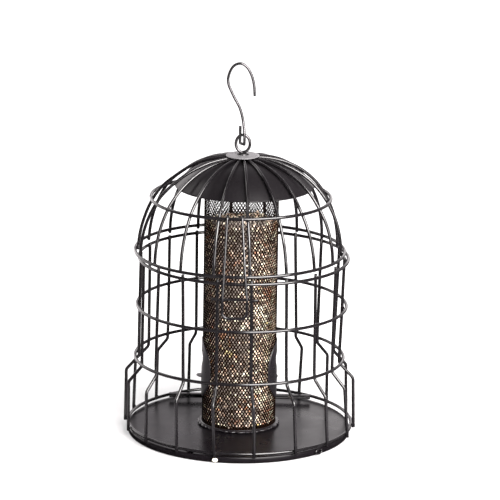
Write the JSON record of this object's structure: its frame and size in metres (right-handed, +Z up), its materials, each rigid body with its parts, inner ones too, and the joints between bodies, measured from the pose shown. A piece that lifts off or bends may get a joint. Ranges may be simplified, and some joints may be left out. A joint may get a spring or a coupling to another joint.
{
  "type": "squirrel proof bird feeder",
  "caption": "Round wire cage with a hinged dome top, flared foot and round tray, guarding a mesh seed tube and hung by a wire hook.",
  "frame": {"origin": "centre of the circle that the tray stands on, on the ground", "axes": "+Z up through the tube to the hook; the latch faces -Y and the hinge is at +Y; +X is to the right seen from the front"},
  "size_m": [0.233, 0.2296, 0.3784],
  "materials": {
    "wire": "black powder coat, satin",
    "sheet": "black coat, satin, pressed sheet",
    "baffle": "black coat, low satin",
    "cap": "dark grey coat, worn satin",
    "steel": "dark steel",
    "mesh": "black coated expanded mesh",
    "moulded": "black moulded plastic",
    "seed": "mixed bird seed"
  },
  "bodies": {
    "cage": {"cage_wire_01": "wire", "cage_wire_02": "wire", "cage_wire_03": "wire", "cage_wire_04": "wire", "cage_wire_05": "wire", "cage_wire_06": "wire", "cage_wire_07": "wire", "cage_wire_08": "wire", "cage_wire_09": "wire", "cage_wire_10": "wire", "cage_wire_11": "wire", "cage_wire_12": "wire", "cage_wire_13": "wire", "cage_wire_14": "wire", "cage_wire_15": "wire", "cage_wire_16": "wire", "cage_wire_17": "wire", "cage_wire_18": "wire", "cage_top_ring": "wire", "cage_middle_ring": "wire", "cage_lower_ring": "wire", "cage_base_ring": "wire", "tray": "sheet", "tray_cross_bar": "sheet", "tray_clip": "wire", "mesh_tube": "mesh", "tube_base_cup": "moulded", "seed_port_left": "moulded", "seed_port_right": "moulded", "seed_fill": "seed", "tube_screw": "steel", "wing_nut": "steel"},
    "dome": {"dome_wire_01": "wire", "dome_wire_02": "wire", "dome_wire_03": "wire", "dome_wire_04": "wire", "dome_wire_05": "wire", "dome_wire_06": "wire", "dome_wire_07": "wire", "dome_wire_08": "wire", "dome_wire_09": "wire", "dome_wire_10": "wire", "dome_wire_11": "wire", "dome_wire_12": "wire", "dome_wire_13": "wire", "dome_wire_14": "wire", "dome_wire_15": "wire", "dome_wire_16": "wire", "dome_wire_17": "wire", "dome_wire_18": "wire", "dome_middle_ring": "wire", "dome_bottom_ring": "wire", "cap_plate": "cap", "roof_baffle": "baffle", "eye_bolt": "steel", "eye_nut": "steel", "hinge_loop_left": "wire", "hinge_loop_right": "wire"},
    "latch": {"latch": "wire"},
    "hook": {"s_hook": "steel"}
  },
  "joints": [
    {"name": "dome_hinge", "type": "hinge", "parent": "cage", "child": "dome", "pos_m": [0, 0.10381, 0.1807], "axis": [-1, 0, 0], "range_deg": [0, 110]},
    {"name": "latch_swing", "type": "hinge", "parent": "dome", "child": "latch", "pos_m": [0, -0.08937, 0.24207], "axis": [-1, 0, 0], "range_deg": [0, 95]},
    {"name": "hook_swing", "type": "hinge", "parent": "dome", "child": "hook", "pos_m": [0, 0, 0.3058], "axis": [1, 0, 0], "range_deg": [-110, 110]}
  ]
}
